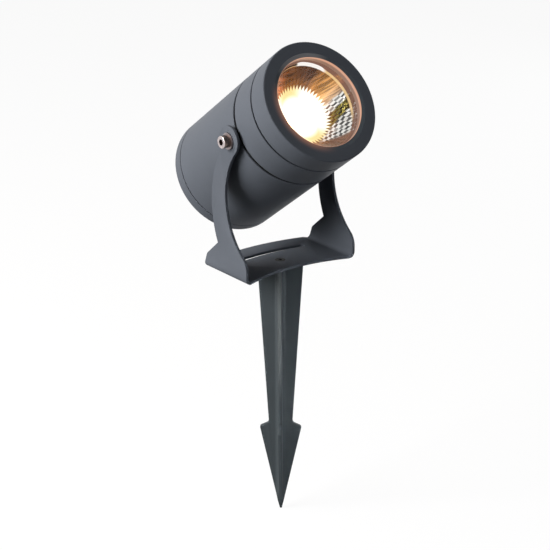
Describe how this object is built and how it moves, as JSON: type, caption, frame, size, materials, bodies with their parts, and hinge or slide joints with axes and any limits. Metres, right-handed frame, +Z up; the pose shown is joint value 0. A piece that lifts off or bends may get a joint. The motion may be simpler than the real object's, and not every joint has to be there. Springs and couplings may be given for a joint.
{
  "type": "garden spike spotlight",
  "caption": "Cylindrical garden spotlight that tilts in a folded yoke and turns on a cross-bladed ground spike, with a recessed glass front and a rear cable gland.",
  "frame": {"origin": "centre of the yoke plate's underside on the spike's axis, where the plate rests on the spike, at soil level", "axes": "+Z up along the spike, -Y is the side the lamp shines to, X along the tilt pivots"},
  "size_m": [0.1058, 0.1527, 0.3493],
  "materials": {
    "powder_coat": "anthracite powder coat, fine texture",
    "nylon": "dark grey glass-filled nylon",
    "black_steel": "black oxide",
    "stainless": "stainless",
    "silicone": "grey silicone",
    "rubber": "black",
    "glass": "clear toughened",
    "reflector": "metallised facets",
    "aluminium": "turned",
    "thermal_pad": "grey pad",
    "ceramic": "white ceramic",
    "phosphor": "yellow phosphor",
    "white_plastic": "white",
    "black_plastic": "black nylon",
    "board": "green laminate",
    "transformer": "yellow tape",
    "capacitor": "black sleeve",
    "brass": "plain",
    "earth_wire": "green and yellow",
    "red_wire": "red",
    "black_wire": "black"
  },
  "bodies": {
    "spike": {"spike": "nylon", "spike_screw": "black_steel"},
    "yoke": {"yoke": "powder_coat"},
    "head": {"front_bezel": "powder_coat", "optic_housing": "powder_coat", "barrel": "powder_coat", "rear_cover": "powder_coat", "glass_gasket": "silicone", "front_glass": "glass", "bezel_seal": "rubber", "reflector": "reflector", "optic_housing_seal": "rubber", "rear_cover_seal": "rubber", "heat_sink": "aluminium", "thermal_pad": "thermal_pad", "led_substrate": "ceramic", "led_phosphor": "phosphor", "led_holder": "white_plastic", "led_holder_screws": "stainless", "rear_cover_screws": "stainless", "pivot_screws": "stainless", "pivot_washers": "stainless", "pivot_spacers": "nylon", "driver_tray": "black_plastic", "driver_tray_screws": "stainless", "driver_board": "board", "board_spacers": "white_plastic", "driver_transformer": "transformer", "driver_capacitors": "capacitor", "terminal_block": "white_plastic", "earth_screw": "brass", "earth_lead": "earth_wire", "led_lead_positive": "red_wire", "led_lead_negative": "black_wire", "gland_body": "black_plastic", "gland_o_ring": "rubber", "gland_seal": "rubber", "gland_cap": "black_plastic", "gland_locknut": "black_plastic"}
  },
  "joints": [
    {"name": "pan", "type": "hinge", "parent": "spike", "child": "yoke", "pos_m": [0, 0, 0], "axis": [0, 0, 1], "continuous": true},
    {"name": "tilt", "type": "hinge", "parent": "yoke", "child": "head", "pos_m": [0, -0.0057, 0.0969], "axis": [-1, 0, 0], "range_deg": [-125.6, 54.4]}
  ]
}
